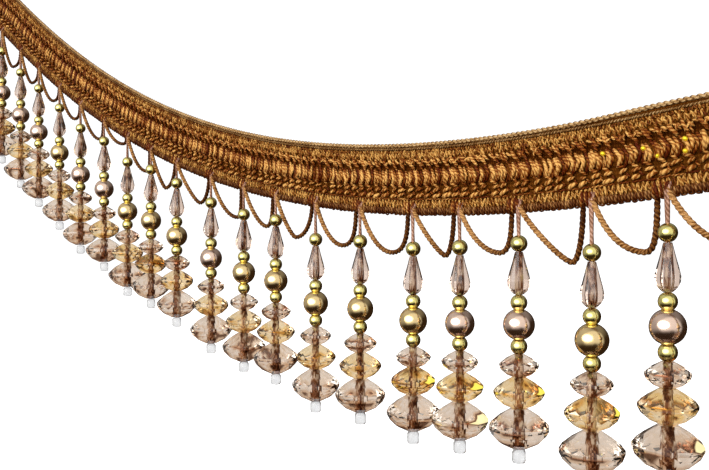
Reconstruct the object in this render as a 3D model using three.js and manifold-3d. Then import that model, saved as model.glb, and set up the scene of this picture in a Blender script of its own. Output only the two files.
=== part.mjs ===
// Beaded fringe trim, hanging in a shallow swag. A gimp-woven heading runs along the top. A narrow
// binding under it carries scalloped loops of twisted cord and the drop threads, and a string of
// beads hangs from each thread.
// Millimetres, +Z up, +X along the trim, front toward -Y. The origin is the middle of the heading's
// top edge, in the plane of its back.

import * as THREE from "three";
import { mergeVertices } from "three/addons/utils/BufferGeometryUtils.js";
import Module from "manifold-3d";

const wasm = await Module();
wasm.setup();

// The run of the lower edge: its slope and its turn in plan, in degrees, change along its length.
const LENGTH = 420;
const SPAN = 200; // the length that the two rows below are stated for
const SLOPE = [-14.9, 26.5, -0.3, -4.7]; // terms in rising powers of position / SPAN
const TURN = -6;
const EDGE_STEP = 0.5;

// Heading and binding, as heights above the lower edge and depths in front of the back.
const HEIGHT = 19.6;
const BINDING = { foot: -0.5, top: 1.6, back: 0.1, front: 1.1, step: 10 };
const PARTING = 0.3; // clear gap between neighbouring pieces
const RIB_PITCH = 3.4; // one twisted bundle of the raised plait

// The heading's front from top to bottom: its depth on a bundle's crest and in the valley between.
const FRONT = [
  { v: HEIGHT, crest: 1.2, valley: 1.1 },
  { v: 15.0, crest: 0.9, valley: 0.9 },
  { v: 12.9, crest: 1.7, valley: 1.1 },
  { v: 9.8, crest: 2.8, valley: 1.9 },
  { v: 6.7, crest: 1.7, valley: 1.1 },
  { v: 4.4, crest: 0.9, valley: 0.9 },
  { v: BINDING.top + PARTING, crest: 1.1, valley: 1.0 },
];

// Threads and loops.
const DROP_PITCH = 20;
const THREAD = { radius: 0.6, depth: 1.0, root: 0.8, sides: 4 };
const CORD = { radius: 0.75, root: 0.8, steps: 11 };
const LOOP = { startAside: 0.4, startDepth: 1.3, lowDepth: -0.8, endAside: 3.0, endDepth: 0.0 };

// How far a loop's curve is pulled on its way, as shares of its half span or of its fall. A pointed
// loop is pulled less, by the second number.
const PULL = {
  lean: 0.2, // outward as it leaves the binding
  fall: [0.5, 0.15], // downward as it leaves the binding
  before: [0.55, 0.4], // level, into its lowest point
  after: [0.76, 0.4], // level, out of its lowest point
  climb: 0.65, // downward from where it ends
};
const LOOP_POINTS = 6; // on each half

// One row for each drop, left to right: how far it sits off its even place, from the edge to the
// middle of its top bead, and the tone of its large ball.
const DROPS = [
  { shift: 0.0, thread: 9.0, ball: "gold" },
  { shift: -1.4, thread: 9.8, ball: "rose" },
  { shift: -0.1, thread: 10.3, ball: "rose" },
  { shift: -0.5, thread: 9.1, ball: "rose" },
  { shift: 0.6, thread: 9.1, ball: "gold" },
  { shift: 0.7, thread: 10.1, ball: "rose" },
  { shift: 1.7, thread: 7.9, ball: "rose" },
  { shift: 1.2, thread: 9.9, ball: "gold" },
  { shift: -0.5, thread: 7.2, ball: "gold" },
  { shift: -1.8, thread: 7.3, ball: "gold" },
  { shift: 1.1, thread: 9.0, ball: "rose" },
  { shift: 1.1, thread: 9.0, ball: "gold" },
  { shift: -0.9, thread: 7.8, ball: "gold" },
  { shift: -0.4, thread: 11.2, ball: "gold" },
  { shift: 0.3, thread: 9.6, ball: "gold" },
  { shift: 2.3, thread: 10.3, ball: "gold" },
  { shift: -0.3, thread: 9.4, ball: "rose" },
  { shift: -0.6, thread: 8.5, ball: "rose" },
  { shift: 0.7, thread: 11.5, ball: "gold" },
  { shift: -0.1, thread: 8.4, ball: "rose" },
  { shift: 0.0, thread: 9.5, ball: "gold" },
];

// One row for each loop, left to right: its sag below the edge, where along its span it is lowest,
// and how pointed it is there, from 0 for round to 1 for sharp.
const LOOPS = [
  { sag: 12.0, low: 0.50, point: 0.3 },
  { sag: 13.0, low: 0.42, point: 0.3 },
  { sag: 11.1, low: 0.44, point: 0.4 },
  { sag: 9.5, low: 0.56, point: 0.2 },
  { sag: 9.0, low: 0.59, point: 0.2 },
  { sag: 9.3, low: 0.67, point: 0.3 },
  { sag: 4.2, low: 0.69, point: 0.1 },
  { sag: 9.6, low: 0.67, point: 0.1 },
  { sag: 12.1, low: 0.43, point: 0.8 },
  { sag: 11.3, low: 0.58, point: 0.8 },
  { sag: 11.2, low: 0.69, point: 0.2 },
  { sag: 11.1, low: 0.60, point: 0.4 },
  { sag: 12.2, low: 0.41, point: 0.7 },
  { sag: 11.8, low: 0.52, point: 0.1 },
  { sag: 12.0, low: 0.53, point: 0.1 },
  { sag: 11.8, low: 0.61, point: 0.9 },
  { sag: 10.8, low: 0.61, point: 0.1 },
  { sag: 13.6, low: 0.69, point: 0.9 },
  { sag: 12.2, low: 0.66, point: 0.0 },
  { sag: 12.0, low: 0.66, point: 0.3 },
];

// Half the outline of a drop, from its top bead down: a small ball, a pear-shaped bead, a small
// ball, a large ball, a small ball, three saucers that grow downward, and a seed bead as the stop.
// z is measured from the middle of the top bead.
const DROP_SIDES = 8;
const DROP_OUTLINE = [
  { r: 0.0, z: 2.05 },
  { r: 1.3, z: 1.7 },
  { r: 2.15, z: 0.0 },
  { r: 1.1, z: -2.1 },
  { r: 2.95, z: -9.2 },
  { r: 2.6, z: -11.0 },
  { r: 1.1, z: -12.8 },
  { r: 2.15, z: -14.9 },
  { r: 1.3, z: -16.6 },
  { r: 3.5, z: -18.4 },
  { r: 4.0, z: -20.4 },
  { r: 3.5, z: -22.4 },
  { r: 1.3, z: -24.2 },
  { r: 2.15, z: -25.9 },
  { r: 1.5, z: -27.8 },
  { r: 5.0, z: -30.8 },
  { r: 1.8, z: -33.7 },
  { r: 6.4, z: -37.5 },
  { r: 5.0, z: -39.4 },
  { r: 1.9, z: -41.6 },
  { r: 6.4, z: -44.8 },
  { r: 7.6, z: -46.5 },
  { r: 6.0, z: -48.6 },
  { r: 1.9, z: -51.6 },
  { r: 1.7, z: -55.3 },
  { r: 0.0, z: -55.5 },
];

const LOOKS = {
  heading: { color: 0x96601f, roughness: 0.6, metalness: 0.1 },
  cord: { color: 0xa5682e, roughness: 0.6, metalness: 0.0 },
  gold: { color: 0xd9b878, roughness: 0.25, metalness: 0.5 },
  rose: { color: 0xcfa79a, roughness: 0.25, metalness: 0.4 },
};

// Direction of the lower edge at a position along it.
function edgeDirection(s) {
  const degrees = SLOPE.reduce((sum, term, power) => sum + term * (s / SPAN) ** power, 0);
  const slope = THREE.MathUtils.degToRad(degrees);
  const turn = THREE.MathUtils.degToRad((TURN * s) / SPAN);
  return { slope, turn };
}

// Point on the lower edge with the directions across the heading (up) and out of its front (out).
function edgeFrame(s) {
  const steps = Math.max(1, Math.ceil(Math.abs(s) / EDGE_STEP));
  const at = new THREE.Vector3();
  for (let k = 0; k < steps; k += 1) {
    const { slope, turn } = edgeDirection((s * (k + 0.5)) / steps);
    const level = Math.cos(slope);
    const along = new THREE.Vector3(level * Math.cos(turn), level * Math.sin(turn), Math.sin(slope));
    at.addScaledVector(along, s / steps);
  }
  const { slope, turn } = edgeDirection(s);
  const lean = -Math.sin(slope);
  const up = new THREE.Vector3(lean * Math.cos(turn), lean * Math.sin(turn), Math.cos(slope));
  const out = new THREE.Vector3(Math.sin(turn), -Math.cos(turn), 0);
  return { at, up, out };
}

// The middle of the top edge is moved to the origin.
const middle = edgeFrame(0);
const ORIGIN = middle.at.clone().addScaledVector(middle.up, HEIGHT);

// Point at a position along the edge, a height above it and a depth in front of the back.
function trimPoint(s, height, depth) {
  const { at, up, out } = edgeFrame(s);
  return at.addScaledVector(up, height).addScaledVector(out, depth).sub(ORIGIN);
}

// Point that hangs straight below the edge by a drop, so many millimetres in front of the back.
function hangingPoint(s, drop, depth) {
  const point = trimPoint(s, 0, depth);
  point.z -= drop;
  return point;
}

// Closed solid through rings of points, each ring with the same outline of [height, depth] pairs.
function sweptGeometry(stations, outlineAt) {
  const outlines = stations.map((s, k) => outlineAt(k));
  const count = outlines[0].length;
  const points = stations.flatMap((s, k) => outlines[k].map(([v, n]) => trimPoint(s, v, n)));
  const index = [];
  for (let k = 0; k + 1 < stations.length; k += 1) {
    for (let j = 0; j < count; j += 1) {
      const a = k * count + j;
      const b = k * count + ((j + 1) % count);
      index.push(a, b, b + count, a, b + count, a + count);
    }
  }
  const contour = outlines[0].map(([v, n]) => new THREE.Vector2(v, n));
  const last = (stations.length - 1) * count;
  for (const [a, b, c] of THREE.ShapeUtils.triangulateShape(contour, [])) {
    index.push(a, c, b, last + a, last + b, last + c);
  }
  const geometry = new THREE.BufferGeometry().setFromPoints(points);
  geometry.setIndex(index);
  return geometry;
}

// Even positions along the whole trim.
function stationsEvery(pitch) {
  const count = Math.round(LENGTH / pitch);
  return Array.from({ length: count + 1 }, (_, k) => LENGTH * (k / count - 0.5));
}

// Heading: a thin band whose middle is ribbed by the bundles of the plait.
function headingGeometry() {
  const stations = stationsEvery(RIB_PITCH / 2);
  const foot = BINDING.top + PARTING;
  const back = [
    [foot, 0],
    [HEIGHT, 0],
  ];
  const outlines = ["valley", "crest"].map((name) => [...back, ...FRONT.map((row) => [row.v, row[name]])]);
  return sweptGeometry(stations, (k) => outlines[k % 2]);
}

// Binding: the narrow strip that the loops and the threads are caught in.
function bindingGeometry() {
  const { foot, top, back, front, step } = BINDING;
  const outline = [
    [foot, back],
    [top, back],
    [top, front],
    [foot, front],
  ];
  return sweptGeometry(stationsEvery(step), () => outline);
}

// Position of a drop along the edge.
function dropPlace(k) {
  return (k - (DROPS.length - 1) / 2) * DROP_PITCH + DROPS[k].shift;
}

// Thread of one drop, from inside the binding to just above the top bead.
function threadGeometry(k) {
  const s = dropPlace(k);
  const top = trimPoint(s, THREAD.root, THREAD.depth);
  const end = hangingPoint(s, DROPS[k].thread - DROP_OUTLINE[0].z - PARTING, THREAD.depth);
  const { radius, sides } = THREAD;
  const geometry = new THREE.CylinderGeometry(radius, radius, top.z - end.z, sides);
  geometry.rotateX(Math.PI / 2);
  return geometry.translate(end.x, end.y, (top.z + end.z) / 2);
}

// Centre line of one loop. It leaves the binding in front, beside one thread, sinks down and back
// to its lowest point and climbs steeply behind the next thread. Its two halves are cubic Bezier
// curves, level where they meet unless the loop is pointed.
function loopCurve(k) {
  const { sag, low, point } = LOOPS[k];
  const start = dropPlace(k) + LOOP.startAside;
  const end = dropPlace(k + 1) - LOOP.endAside;
  const lowest = dropPlace(k) + low * (dropPlace(k + 1) - dropPlace(k));
  const left = lowest - start;
  const right = end - lowest;
  const turn = edgeDirection(lowest).turn;
  const level = new THREE.Vector3(Math.cos(turn), Math.sin(turn), 0);
  const moved = (from, along, down) => from.clone().addScaledVector(level, along).setZ(from.z - down);
  const pull = ([round, lessPointed]) => round - lessPointed * point;
  const a = trimPoint(start, CORD.root, LOOP.startDepth);
  const b = trimPoint(end, CORD.root, LOOP.endDepth);
  const bottom = hangingPoint(lowest, sag, LOOP.lowDepth);
  const leaving = moved(a, PULL.lean * left, pull(PULL.fall) * (a.z - bottom.z));
  const before = moved(bottom, -pull(PULL.before) * left, 0);
  const after = moved(bottom, pull(PULL.after) * right, 0);
  const climbing = moved(b, 0, PULL.climb * (b.z - bottom.z));
  const halves = [
    new THREE.CubicBezierCurve3(a, leaving, before, bottom),
    new THREE.CubicBezierCurve3(bottom, after, climbing, b),
  ].map((curve) => curve.getPoints(LOOP_POINTS));
  return new THREE.CatmullRomCurve3([...halves[0], ...halves[1].slice(1)]);
}

// One loop of cord, four-sided.
function loopGeometry(k) {
  const r = CORD.radius;
  const section = new THREE.Shape([
    new THREE.Vector2(r, 0),
    new THREE.Vector2(0, r),
    new THREE.Vector2(-r, 0),
    new THREE.Vector2(0, -r),
  ]);
  return new THREE.ExtrudeGeometry(section, {
    extrudePath: loopCurve(k),
    steps: CORD.steps,
    bevelEnabled: false,
  });
}

// Solid of a closed geometry, for joining.
function solidOf(geometry) {
  geometry.deleteAttribute("normal");
  geometry.deleteAttribute("uv");
  const merged = mergeVertices(geometry, 1e-4);
  return new wasm.Manifold(
    new wasm.Mesh({
      numProp: 3,
      vertProperties: merged.attributes.position.array,
      triVerts: new Uint32Array(merged.index.array),
    }),
  );
}

// Geometry of a solid.
function geometryOf(solid) {
  const mesh = solid.getMesh();
  const geometry = new THREE.BufferGeometry();
  geometry.setAttribute("position", new THREE.BufferAttribute(mesh.vertProperties, 3));
  geometry.setIndex(new THREE.BufferAttribute(mesh.triVerts, 1));
  return geometry;
}

// Binding, threads and loops joined at their roots.
function fringeGeometry() {
  const threads = DROPS.map((row, k) => threadGeometry(k));
  const loops = LOOPS.map((row, k) => loopGeometry(k));
  const pieces = [bindingGeometry(), ...threads, ...loops].map(solidOf);
  return geometryOf(pieces.reduce((joined, piece) => joined.add(piece)));
}

// One drop, hanging straight down from its thread.
function dropGeometry(k) {
  const outline = [...DROP_OUTLINE].reverse().map(({ r, z }) => new THREE.Vector2(r, z));
  const geometry = new THREE.LatheGeometry(outline, DROP_SIDES);
  geometry.rotateX(Math.PI / 2);
  const { x, y, z } = hangingPoint(dropPlace(k), DROPS[k].thread, THREAD.depth);
  return geometry.translate(x, y, z);
}

function pieceMesh(name, geometry, look) {
  geometry.computeVertexNormals();
  const mesh = new THREE.Mesh(geometry, new THREE.MeshStandardMaterial(LOOKS[look]));
  mesh.name = name;
  return mesh;
}

const trim = new THREE.Group();
trim.name = "beaded_fringe_trim";
trim.add(pieceMesh("braid_heading", headingGeometry(), "heading"));
trim.add(pieceMesh("loop_fringe", fringeGeometry(), "cord"));
DROPS.forEach((row, k) => {
  const name = `bead_drop_${String(k + 1).padStart(2, "0")}`;
  trim.add(pieceMesh(name, dropGeometry(k), row.ball));
});

export default trim;
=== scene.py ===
# %% [markdown]
# # A beaded fringe trim, dressed in yarn, cord, glass and gilt
# The frame already holds the plain solids of the trim at their real size. This lesson puts the real
# surfaces in their place: thousands of yarns for the heading, twisted cord for the loops, and cut glass
# and gilt beads for the drops. We load the frame first, so that every piece is made around it.

# %% Load the frame
import math
import bpy
import numpy as np
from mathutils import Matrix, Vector


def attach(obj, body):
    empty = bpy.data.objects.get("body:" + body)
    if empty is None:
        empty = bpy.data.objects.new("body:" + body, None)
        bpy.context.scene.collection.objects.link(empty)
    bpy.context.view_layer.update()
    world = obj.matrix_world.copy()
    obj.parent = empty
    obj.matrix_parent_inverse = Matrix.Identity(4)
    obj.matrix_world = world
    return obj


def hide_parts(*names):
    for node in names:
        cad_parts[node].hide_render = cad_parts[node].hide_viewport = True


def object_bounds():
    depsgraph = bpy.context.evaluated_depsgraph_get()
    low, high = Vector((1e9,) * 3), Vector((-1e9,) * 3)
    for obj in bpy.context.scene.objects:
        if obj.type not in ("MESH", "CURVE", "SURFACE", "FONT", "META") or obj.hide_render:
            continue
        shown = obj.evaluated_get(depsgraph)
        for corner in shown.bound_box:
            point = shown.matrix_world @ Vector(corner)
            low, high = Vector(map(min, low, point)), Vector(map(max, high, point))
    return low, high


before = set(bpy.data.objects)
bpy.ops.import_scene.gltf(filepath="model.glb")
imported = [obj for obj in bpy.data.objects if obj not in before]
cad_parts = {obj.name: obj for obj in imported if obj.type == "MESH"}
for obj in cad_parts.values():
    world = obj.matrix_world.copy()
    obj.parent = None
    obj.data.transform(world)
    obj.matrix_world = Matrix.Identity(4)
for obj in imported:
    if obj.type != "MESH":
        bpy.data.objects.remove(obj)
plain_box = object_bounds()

chance = np.random.default_rng(23)
print("plain model, in metres:", [[round(x, 4) for x in corner] for corner in plain_box])

# %% [markdown]
# ## The camera
# The photograph was taken level with the trim and from its right, so the trim runs away to the left.
# The height, the turn and the lens were fitted to the places where the drops hang. A lens is stated for
# a sensor 36 mm wide, and 43.7 mm is the lens that shows the trim as foreshortened as the photograph.

# %% Camera
CAMERA_PLACE = (0.25507, -0.18980, -0.04007)  # metres
CAMERA_TURN = 44.45                           # degrees to the left of straight ahead
LENS = 43.67                                  # mm

lens = bpy.data.cameras.new("camera")
lens.lens = LENS
lens.sensor_width = 36.0
lens.clip_start = 0.01
camera = bpy.data.objects.new("camera", lens)
camera.location = CAMERA_PLACE
camera.rotation_euler = (math.radians(90), 0, math.radians(CAMERA_TURN))
bpy.context.collection.objects.link(camera)
bpy.context.scene.camera = camera
print("camera", CAMERA_PLACE, "lens", LENS, "mm")

# %% [markdown]
# ## The line that the trim hangs in
# A ribbon of trim bends along its length but not across it, so one curve is enough to place every yarn
# and bead. Its slope and its turn in plan are short polynomials of the length along it. Every place is
# then given in millimetres as (along, rise, depth): how far along, how high above the lower edge, and
# how far in front of the back. One function carries such places to the room.

# %% Places on the trim
MM = 0.001
LENGTH = 420.0
SPAN = 200.0                         # the length that the slope and the turn are stated for
SLOPE = (-14.9, 26.5, -0.3, -4.7)    # degrees, in rising powers of along / SPAN
TURN = -6.0                          # degrees for each SPAN
HEIGHT = 19.6                        # lower edge to top edge
HALF = LENGTH / 2
RIB = 3.4                            # one bundle of the raised plait
print("the trim is", LENGTH, "mm long and", HEIGHT, "mm high")

# %% The line of the lower edge
def slope_and_turn(along):
    """The edge's slope, a polynomial of the length along it, and its turn in plan, straight in it."""
    share = along / SPAN
    slope = sum(term * share**power for power, term in enumerate(SLOPE))
    return np.radians(slope), np.radians(TURN * share)


def edge_table(step=0.5, over=10.0):
    """The lower edge: its direction summed up step by step, and moved so that the middle is zero."""
    along = np.arange(-HALF - over, HALF + over + step / 2, step)
    slope, turn = slope_and_turn(along)
    way = np.stack([np.cos(slope) * np.cos(turn), np.cos(slope) * np.sin(turn), np.sin(slope)], -1)
    middles = (way[1:] + way[:-1]) / 2 * step
    places = np.vstack([np.zeros(3), np.cumsum(middles, axis=0)])
    return along, places - places[np.argmin(np.abs(along))]


EDGE_ALONG, EDGE = edge_table()
print("the lower edge has", len(EDGE), "places")

# %% From the trim to the room
def edge_ways(along):
    """The ways up and outward at a place: square to the edge, and level, square to the edge's run."""
    slope, turn = slope_and_turn(along)
    up = np.stack([-np.sin(slope) * np.cos(turn), -np.sin(slope) * np.sin(turn), np.cos(slope)], -1)
    out = np.stack([np.sin(turn), -np.cos(turn), np.zeros_like(turn)], -1)
    return up, out


def on_trim(flat):
    """Carries (along, rise, depth) to the room: the edge's point, plus up by rise, plus out by depth."""
    along, rise, depth = flat[..., 0], flat[..., 1:2], flat[..., 2:3]
    at = np.stack([np.interp(along, EDGE_ALONG, EDGE[:, axis]) for axis in range(3)], -1)
    up, out = edge_ways(along)
    return at + up * rise + out * depth - ORIGIN


ORIGIN = np.zeros(3)
ORIGIN = on_trim(np.array([0.0, HEIGHT, 0.0]))
print("the swag spans", np.round(on_trim(np.array([[-HALF, 0, 0], [HALF, 0, 0]])), 1).tolist(), "mm")

# %% [markdown]
# ## Turning paths into yarn
# A yarn is a small ring carried along a path. Every ring needs two directions across the path. The
# first is a chosen direction made square to the path, and the second is square to both. The arrays hold
# all the yarns of a row at once, so a row of six hundred threads is worked out in one go.

# %% Directions across a path
OUTWARD = np.array([0.0, 0.0, 1.0])     # depth, for paths given as (along, rise, depth)
FRONTWARD = np.array([0.0, -1.0, 0.0])  # the same for paths given in the room


def unit(ways):
    """Each direction divided by its length."""
    return ways / np.linalg.norm(ways, axis=-1, keepdims=True)


def cross_ways(paths, toward):
    """Two directions across each path: toward made square to the path, and the path's way times it."""
    way = unit(np.gradient(paths, axis=-2))
    first = unit(toward - (toward * way).sum(-1, keepdims=True) * way)
    return first, np.cross(way, first)


to_the_right = np.array([[0.0, 0.0, 0.0], [1.0, 0.0, 0.0]])
print("across a path to the right:", [way[0].tolist() for way in cross_ways(to_the_right, OUTWARD)])

# %% Rings and their faces
def rings(paths, radii, sides, toward=OUTWARD, flat=1.0):
    """Ring points: path + radius * (flat * cos a * first way + sin a * second way), a round the ring."""
    first, second = cross_ways(paths, toward)
    angle = 2 * np.pi * np.arange(sides) / sides
    across = (flat * np.cos(angle)[:, None] * first[..., None, :]
              + np.sin(angle)[:, None] * second[..., None, :])
    return paths[..., None, :] + np.asarray(radii)[..., None, None] * across


def tube_faces(count, steps, sides):
    """Four-cornered faces between the rings of each tube, and a face that closes each of its ends."""
    tube = np.arange(count)[:, None, None] * steps * sides
    step, side = np.arange(steps - 1)[None, :, None], np.arange(sides)[None, None, :]
    after = (side + 1) % sides
    low, high = tube + step * sides, tube + (step + 1) * sides
    walls = np.stack([low + side, low + after, high + after, high + side], -1).reshape(-1, 4)
    first = tube[:, 0, :] + np.arange(sides)[::-1][None, :]
    last = tube[:, 0, :] + (steps - 1) * sides + np.arange(sides)[None, :]
    return walls, np.vstack([first, last])


print("a ring of 6 sides in 2 steps has", len(tube_faces(1, 2, 6)[0]), "walls")

# %% Yarns
def tube_uv(paths, sides):
    """UV of every wall corner: the length along the yarn in millimetres, from a start set by chance for
    each yarn, and the share of a turn."""
    count, steps = paths.shape[:2]
    gaps = np.linalg.norm(np.diff(paths, axis=1), axis=-1)
    length = np.concatenate([np.zeros((count, 1)), np.cumsum(gaps, axis=1)], axis=1)
    length = length + chance.uniform(0, 50, (count, 1))
    turn = np.arange(sides + 1) / sides
    low, high = length[:, :-1, None], length[:, 1:, None]
    along = np.stack([low, low, high, high], -1) + np.zeros((1, 1, sides, 1))
    round_it = np.stack([turn[:-1], turn[1:], turn[1:], turn[:-1]], -1) + np.zeros(along.shape)
    return np.stack([along, round_it], -1).reshape(-1, 2)


def yarns(paths, radii, sides=6, tone=0.5, toward=OUTWARD, flat=1.0, place=on_trim, paint=0):
    """All the yarns of a row as one part: paths (yarn, step, 3), radii and tones that fit them."""
    count, steps = paths.shape[:2]
    radii = np.broadcast_to(np.asarray(radii, float), (count, steps))
    points = rings(paths, radii, sides, toward, flat)
    if place is not None:
        points = place(points)
    walls, ends = tube_faces(count, steps, sides)
    end_uv = np.zeros((ends.size, 2))
    tones = np.broadcast_to(np.asarray(tone, float), (count, steps))
    return {
        "points": points.reshape(-1, 3), "faces": [walls, ends], "paint": paint, "smooth": True,
        "uv": np.vstack([tube_uv(paths, sides), end_uv]),
        "tone": np.repeat(tones.reshape(-1), sides),
    }


def rounded(steps, blunt=0.35):
    """A yarn's thickness from end to end: full in the middle, and rounded down to blunt at the ends."""
    share = np.linspace(-1, 1, steps)
    return blunt + (1 - blunt) * np.sqrt(np.clip(1 - share**4, 0, 1))


print("a yarn's thickness in five steps:", np.round(rounded(5), 2).tolist())

# %% [markdown]
# ## Putting arrays into a mesh
# Blender takes whole arrays with foreach_set, which is much faster than adding points one by one. A
# piece may have several parts, such as the beads of one drop, each with its own finish. Every point
# carries a tone, which its finish reads. On yarn it is painted light and shade: it runs from about 0,
# deep in the work, to about 1, on the crown. On glass it says how deep the tint is, and higher tones
# have uses that are told later.

# %% Parts into pieces
def new_piece(name, parts, finishes, node=None):
    """Joins parts into one mesh object at the origin, which rides with the trim's only body."""
    corners, counts, smooth, paint, start = [], [], [], [], 0
    for part in parts:
        for faces in part["faces"]:
            corners.append((faces + start).ravel())
            counts.append(np.full(len(faces), faces.shape[1]))
            smooth.append(np.full(len(faces), part["smooth"]))
            paint.append(np.full(len(faces), part["paint"]))
        start += len(part["points"])
    points = np.vstack([part["points"] for part in parts]) * MM
    corners, counts = np.concatenate(corners), np.concatenate(counts)
    mesh = bpy.data.meshes.new(name)
    mesh.vertices.add(len(points))
    mesh.vertices.foreach_set("co", points.astype(np.float32).ravel())
    mesh.loops.add(len(corners))
    mesh.loops.foreach_set("vertex_index", corners.astype(np.int32))
    mesh.polygons.add(len(counts))
    mesh.polygons.foreach_set("loop_start", (np.cumsum(counts) - counts).astype(np.int32))
    mesh.polygons.foreach_set("use_smooth", np.concatenate(smooth))
    mesh.polygons.foreach_set("material_index", np.concatenate(paint).astype(np.int32))
    layer = mesh.uv_layers.new(name="length_and_turn")
    uv = np.vstack([part["uv"] for part in parts])
    layer.data.foreach_set("uv", uv.astype(np.float32).ravel())
    tone = mesh.attributes.new("tone", "FLOAT", "POINT")
    tones = np.concatenate([part["tone"] for part in parts])
    tone.data.foreach_set("value", tones.astype(np.float32))
    for finish in finishes:
        mesh.materials.append(finish)
    mesh.update(calc_edges=True)
    mesh.validate()
    piece = bpy.data.objects.new(name, mesh)
    bpy.context.collection.objects.link(piece)
    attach(piece, "root")
    if node:
        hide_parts(node)
    print(name, "has", int((counts - 2).sum()), "triangles")
    return piece


print("the frame holds", len(bpy.data.meshes), "meshes before the first piece")

# %% [markdown]
# ## Writing a finish as a sum
# Materials are node trees, and sums of nodes are hard to read as lists of links. The small class below
# wraps a node's socket, so that 1 - mask or 0.3 + 0.2 * grain adds the Math nodes by itself. Every
# other node comes from one method, which sets the node's own settings first and then its sockets.

# %% Sums of values
class Value:
    """A number in a shader. The operators add Math nodes."""

    def __init__(self, finish, socket):
        self.finish, self.socket = finish, socket

    def math(self, operation, first, second):
        return self.finish.add("ShaderNodeMath", {"operation": operation}, {0: first, 1: second})

    def __add__(self, other):
        return self.math("ADD", self, other)

    def __sub__(self, other):
        return self.math("SUBTRACT", self, other)

    def __rsub__(self, other):
        return self.math("SUBTRACT", other, self)

    def __mul__(self, other):
        return self.math("MULTIPLY", self, other)

    __radd__ = __add__
    __rmul__ = __mul__


print("values add nodes for +, - and *")

# %% Nodes of a tree
class Nodes:
    """Adds nodes to one tree, of a material or of the world."""

    def __init__(self, tree):
        self.tree = tree

    def add(self, kind, settings, sockets, out=0):
        """A node of any kind: its settings, then its sockets, then the output that is wanted."""
        node = self.tree.nodes.new(kind)
        for key, value in settings.items():
            if key == "stops":
                self.set_stops(node.color_ramp, value)
            else:
                setattr(node, key, value)
        for key, value in sockets.items():
            self.feed(node.inputs[key], value)
        return Value(self, node.outputs[out])

    def set_stops(self, ramp, stops):
        """Two stops are there from the start, and the rest are added."""
        for _ in stops[2:]:
            ramp.elements.new(0.5)
        for element, (place, colour) in zip(ramp.elements, stops):
            element.position, element.color = place, (*colour, 1)

    def feed(self, socket, value):
        """Links a value to the socket, or sets a plain number, colour or vector on it."""
        if isinstance(value, Value):
            self.tree.links.new(value.socket, socket)
        else:
            socket.default_value = value

    def blend(self, share, first, second):
        """The first colour where the share is 0, and the second where it is 1."""
        settings = {"data_type": "RGBA", "blend_type": "MIX", "clamp_factor": True}
        return self.add("ShaderNodeMix", settings, {0: share, 6: first, 7: second}, 2)

    def between(self, value, start, end, how="LINEAR"):
        """0 where the value is at the start or below, 1 at the end or past it."""
        sockets = {"Value": value, "From Min": start, "From Max": end}
        return self.add("ShaderNodeMapRange", {"interpolation_type": how}, sockets)


print("nodes are added by their type, settings and sockets")

# %% A finish
class Finish(Nodes):
    """One material: a Principled shader whose constants are set here, and the nodes that feed it."""

    def __init__(self, name, **constants):
        self.material = bpy.data.materials.new(name)
        self.material.use_nodes = True
        super().__init__(self.material.node_tree)
        self.shader = self.tree.nodes["Principled BSDF"]
        for words, value in constants.items():
            self.shader.inputs[words.replace("_", " ")].default_value = value

    def put(self, words, value):
        """Feeds one of the shader's own sockets with what changes over the surface."""
        self.feed(self.shader.inputs[words], value)

    def tone(self):
        return self.add("ShaderNodeAttribute", {"attribute_name": "tone"}, {}, "Fac")

    def place(self):
        return self.add("ShaderNodeTexCoord", {}, {}, "Object")

    def yarn_place(self, along, turns):
        """The piece's own UV, stretched: along for each millimetre, turns for each turn round."""
        uv = self.add("ShaderNodeUVMap", {"uv_map": "length_and_turn"}, {})
        return self.add("ShaderNodeVectorMath", {"operation": "MULTIPLY"}, {0: uv, 1: (along, turns, 1)})

    def bands(self, at, way, scale, distortion, detail=2.0):
        """Soft stripes across X, Y or the diagonal of a place."""
        settings = {"wave_type": "BANDS", "bands_direction": way}
        sockets = {"Vector": at, "Scale": scale, "Distortion": distortion, "Detail": detail}
        return self.add("ShaderNodeTexWave", settings, sockets, "Fac")

    def noise(self, at, scale, detail=2.0, rough=0.5):
        sockets = {"Vector": at, "Scale": scale, "Detail": detail, "Roughness": rough}
        return self.add("ShaderNodeTexNoise", {}, sockets, "Fac")

    def ramp(self, value, *stops):
        return self.add("ShaderNodeValToRGB", {"stops": stops}, {"Fac": value}, "Color")

    def bump(self, height, distance, strength=1.0):
        sockets = {"Height": height, "Distance": distance, "Strength": strength}
        self.put("Normal", self.add("ShaderNodeBump", {}, sockets, "Normal"))


print("a finish starts from a Principled shader")

# %% [markdown]
# ## Silk yarn
# The heading is woven from viscose, which shines like silk: bright gold where it faces the light and a
# deep red brown where threads shade each other. One ramp from the tone gives both. Fine fibres run
# along each yarn, so a noise that is stretched along the UV's first axis paints and lifts them. Slanting
# bands stand for the plies, and a slow noise over the whole trim for the uneven dye.

# %% Yarn finishes
FIBRES_SHARE, PLY_SHARE, DRIFT_SHARE = 0.45, 0.42, 0.85  # what each may move the tone by
# painted shade: the tone falls toward the left end, so the yarn there is painted darker
PAINTED_SHADE_LEFT = 0.45                                       # tone for each metre to the right


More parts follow.
